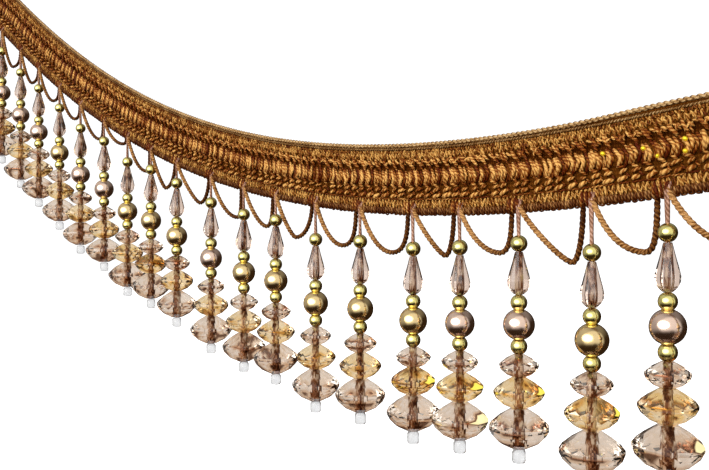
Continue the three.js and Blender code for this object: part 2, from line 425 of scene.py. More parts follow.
def silk(name, dark, middle, light, sheen=0.03, rough=0.40, fibre=0.00008):
    """A ramp of three colours by tone, moved by fibres, fine plies and slow changes, with painted shade
    that darkens it toward the left.
    """
    finish = Finish(name, Sheen_Weight=sheen, Sheen_Roughness=0.4, Sheen_Tint=(*light, 1),
                    Specular_IOR_Level=0.25, Specular_Tint=(1.0, 0.60, 0.30, 1))
    at = finish.yarn_place(0.5, 9.0)
    fibres = finish.noise(at, 1.6, 3.0, 0.6)
    ply = finish.bands(finish.yarn_place(1.0, 2.285), "DIAGONAL", 0.55, 0.9, 1.0)
    drift = finish.noise(finish.place(), 260.0, 4.0, 0.6)
    sideways = finish.add("ShaderNodeSeparateXYZ", {}, {"Vector": finish.place()}, "X")
    shade = finish.tone() + FIBRES_SHARE * (fibres - 0.5) + PLY_SHARE * (ply - 0.5)
    # painted shade: darker to the left, read from the object's X
    shade = shade + DRIFT_SHARE * (drift - 0.5) + PAINTED_SHADE_LEFT * sideways
    finish.put("Base Color", finish.ramp(shade, (0.12, dark), (0.5, middle), (0.88, light)))
    finish.put("Roughness", rough + 0.25 * (fibres - 0.5))
    finish.bump(fibres + 1.2 * ply, fibre, 0.9)
    return finish.material


# the colour deep in the work, the middle one and the one on the crowns
heading_silk = silk("heading_silk", (0.075, 0.007, 0.0005), (0.28, 0.079, 0.009), (0.82, 0.45, 0.13))
band_silk = silk("band_silk", (0.075, 0.009, 0.0005), (0.26, 0.086, 0.010), (0.72, 0.40, 0.11))
edge_silk = silk("edge_silk", (0.07, 0.020, 0.003), (0.24, 0.115, 0.032), (0.60, 0.40, 0.19))
binding_silk = silk("binding_silk", (0.040, 0.005, 0.001), (0.13, 0.037, 0.006), (0.40, 0.20, 0.07))
cord_silk = silk("cord_silk", (0.035, 0.006, 0.001), (0.20, 0.072, 0.014), (0.56, 0.30, 0.11))
thread_silk = silk("thread_silk", (0.11, 0.036, 0.016), (0.29, 0.14, 0.085), (0.60, 0.36, 0.27))
yarn_finishes = (heading_silk, band_silk, edge_silk, binding_silk, cord_silk, thread_silk)
print("yarn finishes:", [finish.name for finish in yarn_finishes])

# %% Ground finish
def ground_cloth():
    """The weave behind the yarns: fine ribs along and across it, dark between them."""
    finish = Finish("ground_cloth", Specular_IOR_Level=0.0)
    at = finish.yarn_place(1.0, 1.0)
    warp = finish.bands(at, "X", 0.45, 1.2)
    weft = finish.bands(at, "Y", 0.35, 1.5)
    drift = finish.noise(finish.place(), 120.0, 2.0)
    shade = finish.tone() + 0.25 * (warp * weft - 0.4) + 0.2 * (drift - 0.5)
    dark, middle, light = (0.050, 0.011, 0.0015), (0.20, 0.065, 0.008), (0.42, 0.2, 0.05)
    finish.put("Base Color", finish.ramp(shade, (0.0, dark), (0.5, middle), (1.0, light)))
    finish.put("Roughness", 0.75 - 0.15 * warp)
    finish.bump(warp + weft, 0.00015, 0.8)
    return finish.material


ground = ground_cloth()
print("ground finish:", ground.name)

# %% [markdown]
# ## The ground of the heading
# Behind the raised yarns lies the woven tape itself. It is one thin closed sheet: a section drawn once,
# from the top down the front and up the back again, and carried along the trim. The front sinks in the
# row of holes and swells under the plait, so the yarns laid on it later shade it as the real ones do.
# Its tone on the front is painted shade as well: low in the holes and in the gaps between the rows.

# %% Ground tape
TAPE_TOP, TAPE_FOOT = 19.3, 0.9
TAPE_BACK = 0.05
WEAVE_RIB, WEAVE_ROW = 1.7, 2.2      # the small waves of the back, along and across
# rise, depth of the ground's front, and its tone, low where painted shade fills the holes and gaps
GROUND_ROWS = np.array([
    (19.3, 0.45, 0.35), (18.5, 0.50, 0.12), (18.1, 0.40, 0.32), (15.2, 0.40, 0.40), (14.6, 0.30, 0.12),
    (12.4, 0.30, 0.08), (11.8, 0.85, 0.20), (10.6, 1.55, 0.34), (9.2, 1.60, 0.34), (7.9, 0.90, 0.20),
    (7.2, 0.40, 0.24), (4.2, 0.40, 0.24), (3.7, 0.40, 0.34), (2.6, 0.40, 0.40), (0.9, 0.45, 0.25),
])


def tape_part(step=0.5, rows=34):
    """Front depth read from the rows, back a little in front of zero, and small waves on both."""
    along = np.arange(-HALF, HALF + step / 2, step)
    rise = np.linspace(TAPE_TOP, TAPE_FOOT, rows)
    depth = np.interp(-rise, -GROUND_ROWS[:, 0], GROUND_ROWS[:, 1])
    # painted shade: the front's tone, low in the holes and in the gaps between the rows
    tone = np.interp(-rise, -GROUND_ROWS[:, 0], GROUND_ROWS[:, 2])
    wave = 0.06 * np.sin(2 * np.pi * along / RIB)[:, None] * (depth > 0.8)
    front = np.stack([np.broadcast_to(along[:, None], (len(along), rows)),
                      np.broadcast_to(rise, (len(along), rows)), depth + wave], -1)
    ribs = 0.05 * np.sin(2 * np.pi * along / WEAVE_RIB)[:, None] * np.cos(2 * np.pi * rise / WEAVE_ROW)
    back = np.stack([front[..., 0], front[..., 1], TAPE_BACK + ribs], -1)[:, ::-1]
    section = np.concatenate([front, back], axis=1)
    steps, sides = section.shape[:2]
    walls, _ = tube_faces(1, steps, sides)
    near, far = np.arange(rows - 1), 2 * rows - 1 - np.arange(rows - 1)
    start = np.stack([near, far, far - 1, near + 1], -1)
    ends = np.vstack([start, (start + (steps - 1) * sides)[:, ::-1]])
    girth = np.concatenate([TAPE_TOP - rise, TAPE_TOP - TAPE_FOOT + rise[::-1]])
    girth = np.append(girth, girth[-1] + 0.5)
    low, high = along[:-1, None], along[1:, None]
    across = np.stack([girth[:-1], girth[1:], girth[1:], girth[:-1]], -1)[None]
    across = across + np.zeros((steps - 1, 1, 1))
    length = np.stack([low, low, high, high], -1) + np.zeros((1, sides, 1))
    uv = np.stack([length, across], -1).reshape(-1, 2)
    back_tone = 0.5 + 0.1 * np.sin(2 * np.pi * rise[::-1] / WEAVE_ROW)
    tones = np.broadcast_to(np.concatenate([tone, back_tone]), (steps, sides))
    return {"points": on_trim(section).reshape(-1, 3), "faces": [walls, ends], "paint": 0, "smooth": True,
            "uv": np.vstack([uv, np.zeros((ends.size, 2))]), "tone": tones.reshape(-1)}


tape = new_piece("heading_tape", [tape_part()], [ground], "braid_heading")

# %% [markdown]
# ## Twisted cords along the edges
# The top edge is finished with a cord of two plies, and a finer one lies under it. A ply runs in a
# helix round the cord's own path. The path's two cross directions turn with the length along it, so the
# ply's place is the path plus a small radius times cosine and sine of that turn. Toward the right end
# the photograph shows the top edge puckered up a little, so the cord rises there by a bell curve.

# %% Plies round a path
PLY_SHARES = {2: (0.40, 0.66), 3: (0.50, 0.54)}  # of the cord's radius: a ply's reach and its thickness


def plies(path, radius, lay, count=2, hand=-1, sides=6, tone=0.5, painted_front_light=0.12, start=None, **more):
    """Helices round one path (step, 3): its place plus reach times the cosine and sine of the turn.
    A hand of 1 turns like a right screw, and the lay is the length of one full turn."""
    gaps = np.linalg.norm(np.diff(path, axis=0), axis=-1)
    length = np.append(0, np.cumsum(gaps))
    first, second = cross_ways(path, more.get("toward", OUTWARD))
    start = chance.uniform(0, 2 * np.pi) if start is None else start
    turn = start + hand * 2 * np.pi * length[None] / lay + 2 * np.pi * np.arange(count)[:, None] / count
    reach, thick = (radius * share for share in PLY_SHARES[count])
    helices = path + reach * (np.cos(turn)[..., None] * first + np.sin(turn)[..., None] * second)
    ends = rounded(len(path), 0.5) ** 0.5
    # painted light: each ply is lighter where it turns to the front of its cord and darker where it turns
    # away
    tones = tone + painted_front_light * np.cos(turn) + chance.uniform(-0.04, 0.04, (count, 1))
    return yarns(helices, thick * ends, sides, tones, **more)


def run_along(rise, depth, step, start=-HALF + 0.4, end=HALF - 0.4):
    """A straight path along the trim at one rise and depth."""
    along = np.arange(start, end, step)
    return np.stack([along, np.full_like(along, rise), np.full_like(along, depth)], -1)


print("a run along the trim has", len(run_along(0, 0, 0.3)), "places")

# %% Edge cords
PUCKER = {"at": 178, "height": 0.45, "width": 16}
edge_path = run_along(19.2, 0.60, 0.3)
edge_path[:, 1] += PUCKER["height"] * np.exp(-((edge_path[:, 0] - PUCKER["at"]) / PUCKER["width"])**2)
fine_path = run_along(18.15, 0.62, 0.3)
edge_plies = [plies(edge_path, 0.66, 3.2, hand=1, tone=0.40, painted_front_light=0.36),
              plies(fine_path, 0.42, 1.8, sides=5, tone=0.16, painted_front_light=0.36)]
edge_cord = new_piece("edge_cords", edge_plies, [edge_silk])

# %% [markdown]
# ## The flat bands of fine threads
# Above and below the plait, threads lie close together across the tape, each a little bent. Their feet
# are pulled to and fro by the weave, which draws the shallow V shapes. Random lean, bend, thickness and
# tone keep them from looking like a comb.

# %% Thread bands
BEND, BOW = 0.14, 0.18  # how far a thread strays aside, and toward the front


def stray(amount, count):
    """A chance value for each yarn of a row, as a column: normal round zero, and as wide as the amount."""
    return chance.normal(0, amount, (count, 1))


def thread_band(top, foot, pitch, depth, radius, tones, lean, steps=7, sides=5, scallop=0.0):
    """Threads from top to foot: even places plus a lean that swaps side, and a bow toward the front.
    A scallop shortens them once in every rib, by a cosine of the place, and darkens their feet there with
    painted shade."""
    places = np.arange(-HALF + 0.5, HALF - 0.4, pitch)
    count = len(places)
    share = np.linspace(0, 1, steps)
    side = lean * np.where(np.arange(count) % 2, 1, -1) + chance.normal(0, 0.07, count)
    wander = BEND * np.sin(2 * np.pi * share[None] * 1.1 + chance.uniform(0, 6.3, (count, 1)))
    along = places[:, None] + side[:, None] * (share[None] - 0.5) + wander
    dip = 0.5 + 0.5 * np.cos(2 * np.pi * (places / RIB + chance.normal(0, 0.08, count)))[:, None]
    rise = top + (foot + scallop * dip - top) * share + stray(0.08, count)
    deep = depth + BOW * np.sin(np.pi * share)[None] + stray(0.05, count)
    paths = np.stack([along, rise, np.broadcast_to(deep, (count, steps))], -1)
    # painted shade: the feet darken where the scallop dips them toward the holes
    tones = np.linspace(*tones, steps) + stray(0.17, count) - 0.2 * scallop * dip * share
    radii = radius * (1 + stray(0.12, count)) * rounded(steps, 0.6)
    return yarns(paths, radii, sides, tones)


# top, foot, pitch, depth, radius, tones at top and foot, lean
upper = [
    thread_band(17.75, 16.7, 0.80, 0.50, 0.32, (0.40, 0.36), 0.05, steps=5),
    thread_band(16.95, 14.6, 0.66, 0.58, 0.33, (0.64, 0.50), 0.5, scallop=0.9),
]
lower = thread_band(3.75, 0.95, 0.62, 0.60, 0.29, (0.60, 0.58), 0.9)
upper_threads = new_piece("upper_threads", upper, [band_silk])
lower_threads = new_piece("lower_threads", [lower], [band_silk])

# %% [markdown]
# ## The row of holes
# Between the upper band and the plait the weave opens into a row of dark holes. Short threads cross it:
# some run straight down between two holes, and others lie slanting over them.

# %% Threads across a row
RIBS = np.arange(-HALF + 1.7, HALF - 1.0, RIB)
RIBS = RIBS + chance.normal(0, 0.16, len(RIBS))


def crossing(begin, end, depth, radius, tone, steps=6, sides=5, loose=0.2, places=RIBS):
    """A thread in each rib: straight from begin to end, both (along, rise), bowed out in the middle, where
    a painted highlight makes it lighter.
    """
    count = len(places)
    share = np.linspace(0, 1, steps)[None, :, None]
    begin = np.array(begin) + chance.normal(0, loose, (count, 1, 2)) * (1, 0.6)
    end = np.array(end) + chance.normal(0, loose, (count, 1, 2)) * (1, 0.6)
    line = begin + (end - begin) * share
    start_depth, mid_depth, end_depth = depth
    bow = start_depth + (end_depth - start_depth) * share + (
        mid_depth - (start_depth + end_depth) / 2) * np.sin(np.pi * share)
    deep = bow + chance.normal(0, 0.06, (count, 1, 1))
    paths = np.concatenate([line[..., :1] + places[:, None, None], line[..., 1:], deep], -1)
    radii = radius * (1 + stray(0.1, count)) * rounded(steps, 0.5)
    # a painted highlight on the bowed middle, and painted shade toward the ends
    tones = tone + stray(0.13, count) + 0.12 * (np.sin(np.pi * share[..., 0]) - 0.6)
    return yarns(paths, radii, sides, tones)


print("the rows have", len(RIBS), "ribs")

# %% Hole row
SOME_RIBS = RIBS[chance.random(len(RIBS)) < 0.55]
# begin and end as (along, rise), depths at start, middle and end, radius, tone
hole_rows = [
    crossing((-1.5, 15.3), (0.9, 12.6), (0.7, 1.50, 1.0), 0.44, 0.42, steps=8, loose=0.32),
    crossing((-0.9, 15.2), (1.2, 11.9), (0.6, 1.10, 1.1), 0.34, 0.30, loose=0.38),
    crossing((-2.3, 14.9), (-0.6, 13.9), (0.9, 1.5, 1.0), 0.30, 0.70, loose=0.38),
    crossing((1.3, 14.6), (-0.2, 13.0), (0.9, 1.7, 1.0), 0.32, 0.50, loose=0.45, places=SOME_RIBS),
    crossing((0.2, 15.0), (1.7, 13.4), (0.7, 1.20, 0.9), 0.34, 0.44, loose=0.35),
]
hole_threads = new_piece("hole_row_threads", hole_rows, [heading_silk])

# %% [markdown]
# ## The raised plait
# Down the middle runs a plait of plump bundles. Each has three strands, bent like arrows that point to
# the right, which swell toward the front and are painted lighter there as a highlight. A fourth one lies
# in the gap to the next bundle, painted dark as the shade in that gap.

# %% Plait
def plait_strand(offset, tone, radius=0.43, steps=12, sides=6, top=12.1, foot=7.5):
    """One strand of every bundle, bent into an arrow that points right: its place falls off with a
    power of the height above or below the point, and its depth is a half sine over the height."""
    count = len(RIBS)
    share = np.linspace(0, 1, steps)[None]
    point = 0.53 + stray(0.03, count)
    reach = 1 + stray(0.16, count)
    bend = 0.75 - 1.8 * reach * np.abs(2 * (share - point)) ** 1.4
    along = RIBS[:, None] + offset + stray(0.20, count) + bend
    rise = top + (foot - top) * share + stray(0.24, count)
    swell = 1.35 + stray(0.14, count) - 0.35 * abs(offset)
    deep = 0.95 + swell * np.sin(np.pi * share) ** 0.8
    paths = np.stack([along, rise, deep], -1)
    # a painted highlight where the strand swells forward, and painted shade at its ends
    tones = tone + stray(0.15, count) + 0.36 * (np.sin(np.pi * share) - 0.72)
    radii = radius * (1 + stray(0.13, count)) * rounded(steps, 0.4)
    return yarns(paths, radii, sides, tones)


# the fourth strand's low tone is painted shade in the gap to the next bundle
STRANDS = ((-0.90, 0.42), (-0.15, 0.63), (0.60, 0.52), (1.50, 0.10))  # offset and tone
plait = new_piece("raised_plait", [plait_strand(*row) for row in STRANDS], [heading_silk])

# %% [markdown]
# ## Glints of metal thread
# Toward the right end a strip of gold foil shows between the strands of the plait in a few places. Each
# glint is a tiny capsule, set just proud of the strands. The foil glares, so it is a metal with a painted
# glow: it also gives off a little light of its own, though it is no lamp.

# %% Glints
FOIL_DEPTH, FOIL_RADIUS, FOIL_STEPS = 2.85, 0.50, 5
# along, rise and half length
GLINTS = np.array([(165.6, 10.9, 0.50), (176.0, 10.5, 0.45), (179.3, 8.3, 0.30), (186.0, 10.9, 0.50),
                   (185.8, 8.3, 0.45)])
half_run = GLINTS[:, None, 2] * np.linspace(-1, 1, FOIL_STEPS)
glint_paths = np.stack([GLINTS[:, None, 0] + half_run, GLINTS[:, None, 1] - 0.5 * half_run,
                        np.full_like(half_run, FOIL_DEPTH)], -1)
# painted glow: the foil's emission makes it glare
foil = Finish("gold_foil", Metallic=0.9, Roughness=0.3, Emission_Strength=0.35)
foil_fleck = foil.noise(foil.place(), 900.0)
foil.put("Base Color", foil.blend(foil_fleck, (0.95, 0.72, 0.04, 1), (0.80, 0.55, 0.03, 1)))
# the colour of the painted glow
foil.put("Emission Color", foil.blend(foil_fleck, (1.0, 0.75, 0.03, 1), (0.9, 0.6, 0.02, 1)))
glint_part = yarns(glint_paths, FOIL_RADIUS * rounded(FOIL_STEPS, 0.5), 8)
glints = new_piece("metal_glints", [glint_part], [foil.material])

# %% [markdown]
# ## The chain under the plait
# Under the plait a thin zigzag ties the bundles down, and a row of small plump stitches leans the other
# way. Dark dots of the ground show between them.

# %% Chain row
chain_rows = [
    crossing((-1.2, 4.2), (1.2, 5.1), (0.7, 1.5, 0.8), 0.52, 0.52, steps=8, sides=6, loose=0.27),
    crossing((-1.1, 5.9), (1.1, 6.7), (0.7, 1.4, 0.8), 0.46, 0.49, steps=7, loose=0.30),
    crossing((-1.1, 8.0), (0.7, 6.9), (1.2, 1.4, 0.8), 0.40, 0.42, loose=0.25),
    crossing((0.9, 6.0), (1.9, 4.8), (0.7, 1.1, 0.7), 0.30, 0.20, loose=0.15),
    crossing((-1.7, 3.8), (1.7, 3.8), (0.7, 0.9, 0.7), 0.30, 0.22, loose=0.12),
]
chain = new_piece("chain_row", chain_rows, [heading_silk])

# %% [markdown]
# ## Where the drops hang
# Twenty-one drops hang an even pitch apart, but hand work strays, so a short table holds what each one
# does: how far it sits off its even place, how long its thread is, and the tone of its large ball.

# %% Drops' places
DROP_PITCH = 20.0
DROP_NAMES = ("shift", "thread", "ball")
DROPS = [dict(zip(DROP_NAMES, row)) for row in (
    (0.0, 9.0, "gold"), (-1.4, 9.8, "rose"), (-0.1, 10.3, "rose"), (-0.5, 9.1, "rose"),
    (0.6, 9.1, "gold"), (0.7, 10.1, "rose"), (1.7, 7.9, "rose"), (1.2, 9.9, "gold"),
    (-0.5, 7.2, "gold"), (-1.8, 7.3, "gold"), (1.1, 9.0, "rose"), (1.1, 9.0, "gold"),
    (-0.9, 7.8, "gold"), (-0.4, 11.2, "gold"), (0.3, 9.6, "gold"), (2.3, 10.3, "gold"),
    (-0.3, 9.4, "rose"), (-0.6, 8.5, "rose"), (0.7, 11.5, "gold"), (-0.1, 8.4, "rose"),
    (0.0, 9.5, "gold"),
)]


def drop_place(k):
    """The even place of drop k, the middle one at zero, plus its own shift."""
    return (k - (len(DROPS) - 1) / 2) * DROP_PITCH + DROPS[k]["shift"]


print("drops hang from", round(drop_place(0), 1), "to", round(drop_place(len(DROPS) - 1), 1), "mm")

# %% [markdown]
# ## The binding
# The lower edge is bound over a narrow strip. Close stitches wrap it from the front, round under it and
# up the back, painted lighter on the top and front and darker underneath as light and shade. Every
# second one ends in a tiny loop that shows as a dark bead along the edge, painted dark as shade under it.

# %% Binding's stitches
def binding_core(step=1.0):
    """The strip inside the binding, an oval section carried along the lower edge."""
    path = run_along(0.45, 0.58, step, -HALF, HALF)[None]
    return yarns(path, 0.85, 10, 0.05, flat=0.6)


def binding_stitches(pitch=0.85, steps=9, sides=5):
    """Stitches round the strip: an arc in rise and depth from the front's top, under it, to the back."""
    places = np.arange(-HALF + 0.4, HALF - 0.3, pitch)
    count = len(places)
    angle = np.radians(np.linspace(78, -258, steps))[None]
    along = places[:, None] + stray(0.06, count) + 0.18 * np.cos(angle)
    rise = 0.40 + 0.92 * np.sin(angle) + stray(0.05, count)
    depth = 0.6 + 0.56 * np.cos(angle) * np.ones((count, 1))
    # painted light and shade: lighter on the top and front of each stitch, darker under and behind it
    tones = 0.26 + 0.14 * np.cos(angle) + 0.22 * np.sin(angle) + stray(0.14, count)
    radii = 0.34 * (1 + stray(0.08, count)) * np.ones((1, steps))
    return yarns(np.stack([along, rise, depth], -1), radii, sides, tones, toward=np.array([1.0, 0, 0]))


def edge_picots(pitch=1.7, steps=7):
    """Tiny loops under the edge: half rings in the trim's own plane, painted dark as shade."""
    places = np.arange(-HALF + 1.0, HALF - 0.8, pitch)
    count = len(places)
    angle = np.linspace(np.pi, 2 * np.pi, steps)[None]
    along = places[:, None] + 0.55 * np.cos(angle) + stray(0.1, count)
    rise = -0.45 + (0.25 + stray(0.07, count)) * np.sin(angle)
    depth = 0.75 + np.zeros((count, steps))
    return yarns(np.stack([along, rise, depth], -1), 0.25, 5, 0.15 + stray(0.08, count))


binding_parts = [binding_core(), binding_stitches(), edge_picots()]
binding = new_piece("lower_binding", binding_parts, [binding_silk], "loop_fringe")

# %% [markdown]
# ## Knots at the roots
# Where a drop and two loops are caught, a few turns of thread bind them to the heading. They run down
# its front, mostly left of the drop, light and dark by turns.

# %% Root knots
WRAPS = ((-3.1, 0.28), (-2.5, -0.15), (-1.8, 0.46), (-1.2, -0.1), (-0.5, 0.40), (0.1, 0.0))  # aside, tone
WRAP_MIDDLE = -1.8


def root_knots():
    """Short threads down the front at every drop, which start lower away from the middle one."""
    drops = np.array([drop_place(k) for k in range(len(DROPS))])
    parts = []
    for aside, tone in WRAPS:
        begin, end = (aside, 3.2 - 0.2 * abs(aside - WRAP_MIDDLE)), (aside + 0.2, -0.35)
        parts.append(crossing(begin, end, (0.9, 1.35, 1.0), 0.42, tone, loose=0.28, places=drops))
    return parts


knots = new_piece("root_knots", root_knots(), [heading_silk])

# %% [markdown]
# ## The loops of cord
# Between two drops a cord hangs in a loop. Each loop is two cubic curves that meet at its lowest point.
# Some loops are round there and some are pinched, so a short table holds each loop's sag, where it is
# lowest and how pointed it is. Three plies then run round the path, which gives the cord its twist.

# %% Loops' sizes
LOOP_NAMES = ("sag", "low", "point")
LOOPS = [dict(zip(LOOP_NAMES, row)) for row in (
    (12.0, 0.50, 0.3), (13.0, 0.42, 0.3), (11.1, 0.44, 0.4), (9.5, 0.56, 0.2), (9.0, 0.59, 0.2),
    (9.3, 0.67, 0.3), (4.2, 0.69, 0.1), (9.6, 0.67, 0.1), (12.1, 0.43, 0.8), (11.3, 0.58, 0.8),
    (11.2, 0.69, 0.2), (11.1, 0.60, 0.4), (12.2, 0.41, 0.7), (11.8, 0.52, 0.1), (12.0, 0.53, 0.1),
    (11.8, 0.61, 0.9), (10.8, 0.61, 0.1), (13.6, 0.69, 0.9), (12.2, 0.66, 0.0), (12.0, 0.66, 0.3),
)]
CORD = {"radius": 0.75, "root": 0.8, "lay": 4.0, "plies": 3, "tuck": 1.0}
LOOP = {"start_aside": 0.4, "start_depth": 1.3, "low_depth": -0.8, "end_aside": 3.0, "end_depth": 0.0}
# how far the curves' control points are pulled, and for three of them how much less on a pointed loop
PULL = {"lean": 0.2, "fall": (0.5, 0.15), "before": (0.55, 0.4), "after": (0.76, 0.4), "climb": 0.65}
print("loops sag", min(row["sag"] for row in LOOPS), "to", max(row["sag"] for row in LOOPS), "mm")

# %% A loop's path
def hanging(along, drop, depth):
    """A point that hangs straight down from the lower edge."""
    return on_trim(np.array([along, 0.0, depth])) - (0, 0, drop)


def bezier(a, b, c, d, count):
    """The cubic curve that leaves a toward b and reaches d from c."""
    t = np.linspace(0, 1, count)[:, None]
    return (1 - t)**3 * a + 3 * (1 - t)**2 * t * b + 3 * (1 - t) * t**2 * c + t**3 * d


def loop_path(k, count=26):
    """Two cubic curves: down from the left drop to the lowest point, and up again to the right one."""
    row = LOOPS[k]
    start = drop_place(k) + LOOP["start_aside"]
    end = drop_place(k + 1) - LOOP["end_aside"]
    lowest = drop_place(k) + row["low"] * (drop_place(k + 1) - drop_place(k))
    left, right = lowest - start, end - lowest
    turn = slope_and_turn(lowest)[1]
    level = np.array([np.cos(turn), np.sin(turn), 0])

    def pull(key):
        full, less = PULL[key]
        return full - less * row["point"]

    a = on_trim(np.array([start, CORD["root"], LOOP["start_depth"]]))
    d = on_trim(np.array([end, CORD["root"], LOOP["end_depth"]]))
    bottom = hanging(lowest, row["sag"], LOOP["low_depth"])
    down = np.array([0, 0, -1])
    leaving = a + PULL["lean"] * left * level + pull("fall") * (a[2] - bottom[2]) * down
    before = bottom - pull("before") * left * level
    after = bottom + pull("after") * right * level
    climbing = d + PULL["climb"] * (d[2] - bottom[2]) * down
    fall, climb = bezier(a, leaving, before, bottom, count), bezier(bottom, after, climbing, d, count)
    return np.vstack([fall, climb[1:]])


def even_steps(path, step):
    """The same path with points an even step apart."""
    length = np.append(0, np.cumsum(np.linalg.norm(np.diff(path, axis=0), axis=-1)))
    even = np.linspace(0, length[-1], int(length[-1] / step) + 2)
    return np.stack([np.interp(even, length, path[:, axis]) for axis in range(3)], -1)


print("the first loop ends at", np.round(loop_path(0)[-1], 1).tolist(), "mm")

# %% Loops
SHADE_PLACES, SHADE_TONES = (0, 0.07, 0.3, 0.6, 1), (0.1, 0.68, 0.57, 0.22, -0.06)
TUCK_BACK = 0.9  # mm that the cord's start lies behind its path
LOOP_STEP = 0.42


def loop_part(k):
    """The three plies of one loop, darker on its right leg, which turns away from the light."""
    path = loop_path(k)
    up, out = edge_ways(np.array(drop_place(k)))
    path = even_steps(np.vstack([path[0] + CORD["tuck"] * up - TUCK_BACK * out, path]), LOOP_STEP)
    shade = np.interp(np.linspace(0, 1, len(path)), SHADE_PLACES, SHADE_TONES)
    return plies(path, CORD["radius"], CORD["lay"], CORD["plies"], -1, 7, tone=shade, painted_front_light=0.09,
                 toward=FRONTWARD, place=None)


loops = new_piece("cord_loops", [loop_part(k) for k in range(len(LOOPS))], [cord_silk],
                  "loop_fringe")

# %% [markdown]
# ## Gilt and glass
# The round beads are plated plastic: a mirror of lemon gold, champagne gold or rose. The cut beads are
# tinted acrylic, as clear as glass. Both look flat without something to mirror, so the light comes later
# from a bright room with dark sides. A slight unevenness of the plating keeps the mirrors from looking
# computed. The tone of a cut bead's corner says how deep its tint is. Past 1.3 it lies under a dark
# metallic patch, painted shade for the dark patches that refraction makes in cut glass, and past 2.2 it
# glares with a painted glint that gives off light of its own.

# %% Gilt
def gilt(name, colour, rough=0.09):
    """A metal whose colour darkens a little in patches, with a faint unevenness in its surface."""
    finish = Finish(name, Metallic=1.0)
    patch = finish.noise(finish.place(), 500.0, 3.0, 0.6)
    fine = finish.noise(finish.place(), 1500.0, 2.0)
    worn = tuple(0.72 * c for c in colour)
    finish.put("Base Color", finish.blend(patch * 0.5, (*colour, 1), (*worn, 1)))
    finish.put("Roughness", rough + 0.07 * patch)
    finish.bump(fine, 0.00002, 0.35)
    return finish.material


lemon_gilt = gilt("lemon_gilt", (0.88, 0.78, 0.28), 0.12)
gold_gilt = gilt("champagne_gilt", (0.90, 0.67, 0.33), 0.14)
rose_gilt = gilt("rose_gilt", (0.90, 0.66, 0.52), 0.15)
print("gilt finishes:", [finish.name for finish in (lemon_gilt, gold_gilt, rose_gilt)])

# %% Cut glass
# tones of the painted shade patches and of the painted glints
PAINTED_SHADE_TONES, GLINT_TONES = (1.3, 1.8), (2.2, 2.7)  # where each of them starts and where it is full


def cut_glass(name, colour, deep, shade_colour, rough=0.03, clear=1.0, glint=(0, 0, 0)):
    """Clear glass, tinted between its colour and its deep one by tone, and past them given first a painted
    shade patch and then a painted glint.
    """
    finish = Finish(name, Transmission_Weight=clear, IOR=1.5, Emission_Strength=1.0)
    cloud = finish.noise(finish.place(), 350.0, 2.0)
    tone = finish.tone()
    painted_shade = finish.between(tone, *PAINTED_SHADE_TONES)
    lit = finish.between(tone, *GLINT_TONES)
    tint = finish.blend(tone + 0.8 * (cloud - 0.5), (*colour, 1), (*deep, 1))
    finish.put("Base Color", finish.blend(painted_shade, tint, (*shade_colour, 1)))
    finish.put("Metallic", 0.7 * painted_shade)
    finish.put("Roughness", rough + 0.10 * painted_shade)
    # painted glint: an emission on the glaring corners
    finish.put("Emission Color", finish.blend(lit, (0, 0, 0, 1), (*glint, 1)))
    return finish.material


# colour, deep tint and the dark metallic colour of the painted shade patches
pear_glass = cut_glass("pear_glass", (0.81, 0.68, 0.59), (0.60, 0.42, 0.33), (0.62, 0.36, 0.20), 0.06)
champagne_glass = cut_glass("champagne_glass", (0.94, 0.86, 0.76), (0.58, 0.34, 0.19), (0.30, 0.10, 0.04),
                            glint=(1.0, 0.90, 0.48))
amber_glass = cut_glass("amber_glass", (0.94, 0.84, 0.61), (0.75, 0.39, 0.09), (0.48, 0.19, 0.02),
                        glint=(1.0, 0.86, 0.12))
clear_glass = cut_glass("clear_glass", (0.99, 0.99, 1.00), (0.94, 0.95, 0.96), (0.90, 0.92, 0.94),
                        rough=0.25, clear=0.85)
print("glass finishes:", [glass.name for glass in (pear_glass, champagne_glass, amber_glass, clear_glass)])

# %% Drilled holes
STREAK_SHAPE = (1, 1, 0.3)  # drawn out three times along the thread


def core_finish():
    """The drilled hole and its threads: their own brown, broken into streaks of painted light and shade
    along the thread, for the way the cuts of the glass break them up.
    """
    finish = Finish("bead_core", Specular_IOR_Level=0.2)
    sockets = {0: finish.place(), 1: STREAK_SHAPE}
    along = finish.add("ShaderNodeVectorMath", {"operation": "MULTIPLY"}, sockets)
    streaks = finish.noise(along, 1100.0, 3.0, 0.6)
    # painted light and shade: dark and light streaks that stand in for the glass's cuts
    shade = finish.tone() + 4.0 * (streaks - 0.5)
    dark, middle, light = (0.07, 0.016, 0.004), (0.38, 0.17, 0.08), (0.95, 0.82, 0.66)
    finish.put("Base Color", finish.ramp(shade, (0.1, dark), (0.5, middle), (0.95, light)))
    finish.put("Roughness", 0.4 + 0.2 * streaks)
    return finish.material


bead_core = core_finish()
print("the holes' finish:", bead_core.name)

# %% [markdown]
# ## Beads as turned profiles
# Every bead is a profile turned round the thread. A round bead keeps its points in line from ring to
# ring and is shaded smooth. The pear-shaped bead keeps them in line too, but is shaded flat, which gives
# it long facets. A saucer turns by half a facet from ring to ring, so its faces are small triangles,
# but for those of its narrow upright rim.

